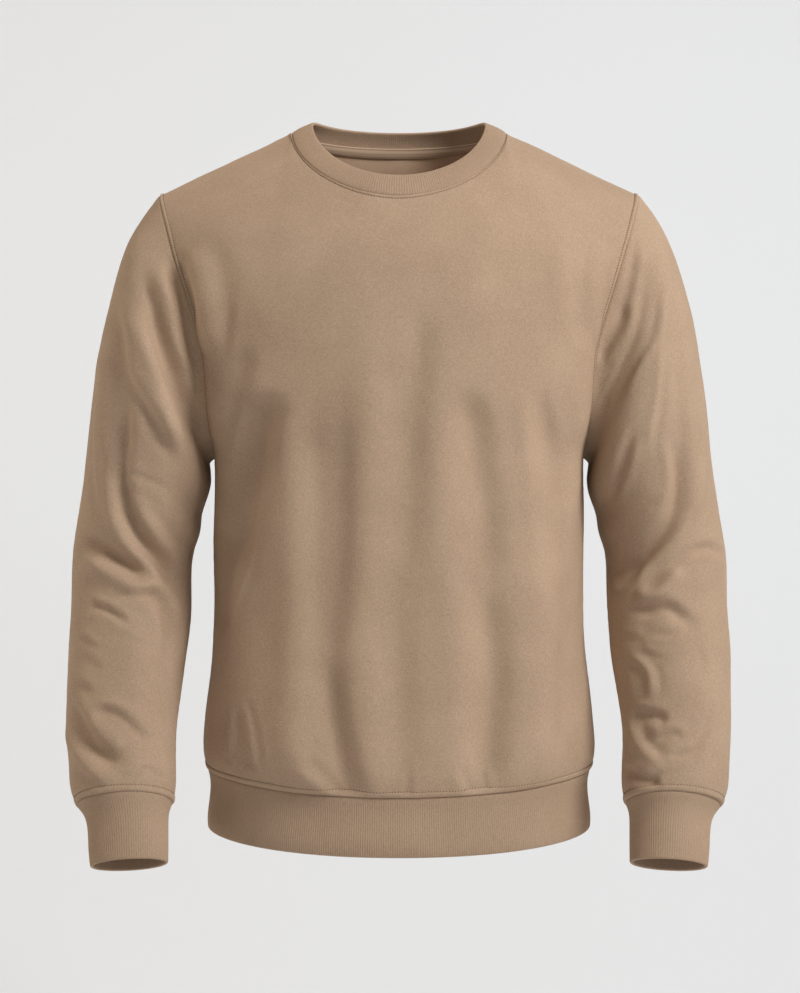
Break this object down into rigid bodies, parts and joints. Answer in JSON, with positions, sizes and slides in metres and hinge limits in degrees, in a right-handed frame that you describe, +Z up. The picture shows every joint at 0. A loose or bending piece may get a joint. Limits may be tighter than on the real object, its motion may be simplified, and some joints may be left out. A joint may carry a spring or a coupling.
{
  "type": "crewneck sweatshirt",
  "caption": "Crewneck sweatshirt in brushed fleece, filled out as if worn, with set-in long sleeves and a rib knit collar, cuffs and hem band.",
  "frame": {"origin": "midway between the two shoulder-neck points, at the inner face of the cloth, where a wearer's shoulders carry the garment", "axes": "+Z up, from hem to neck; the chest faces -Y; the wearer's left sleeve is at +X"},
  "size_m": [0.62, 0.271, 0.6975],
  "materials": {
    "fleece": "brushed cotton fleece, soft matte nap, light brown",
    "rib_knit": "fine rib knit, matte, light brown",
    "tape": "plain woven tape, lighter brown"
  },
  "bodies": {
    "root": {"front": "fleece", "back": "fleece", "sleeve_right": "fleece", "sleeve_left": "fleece", "cuff_right": "rib_knit", "cuff_left": "rib_knit", "hem_band": "rib_knit", "collar": "rib_knit", "neck_tape": "tape"}
  },
  "joints": []
}
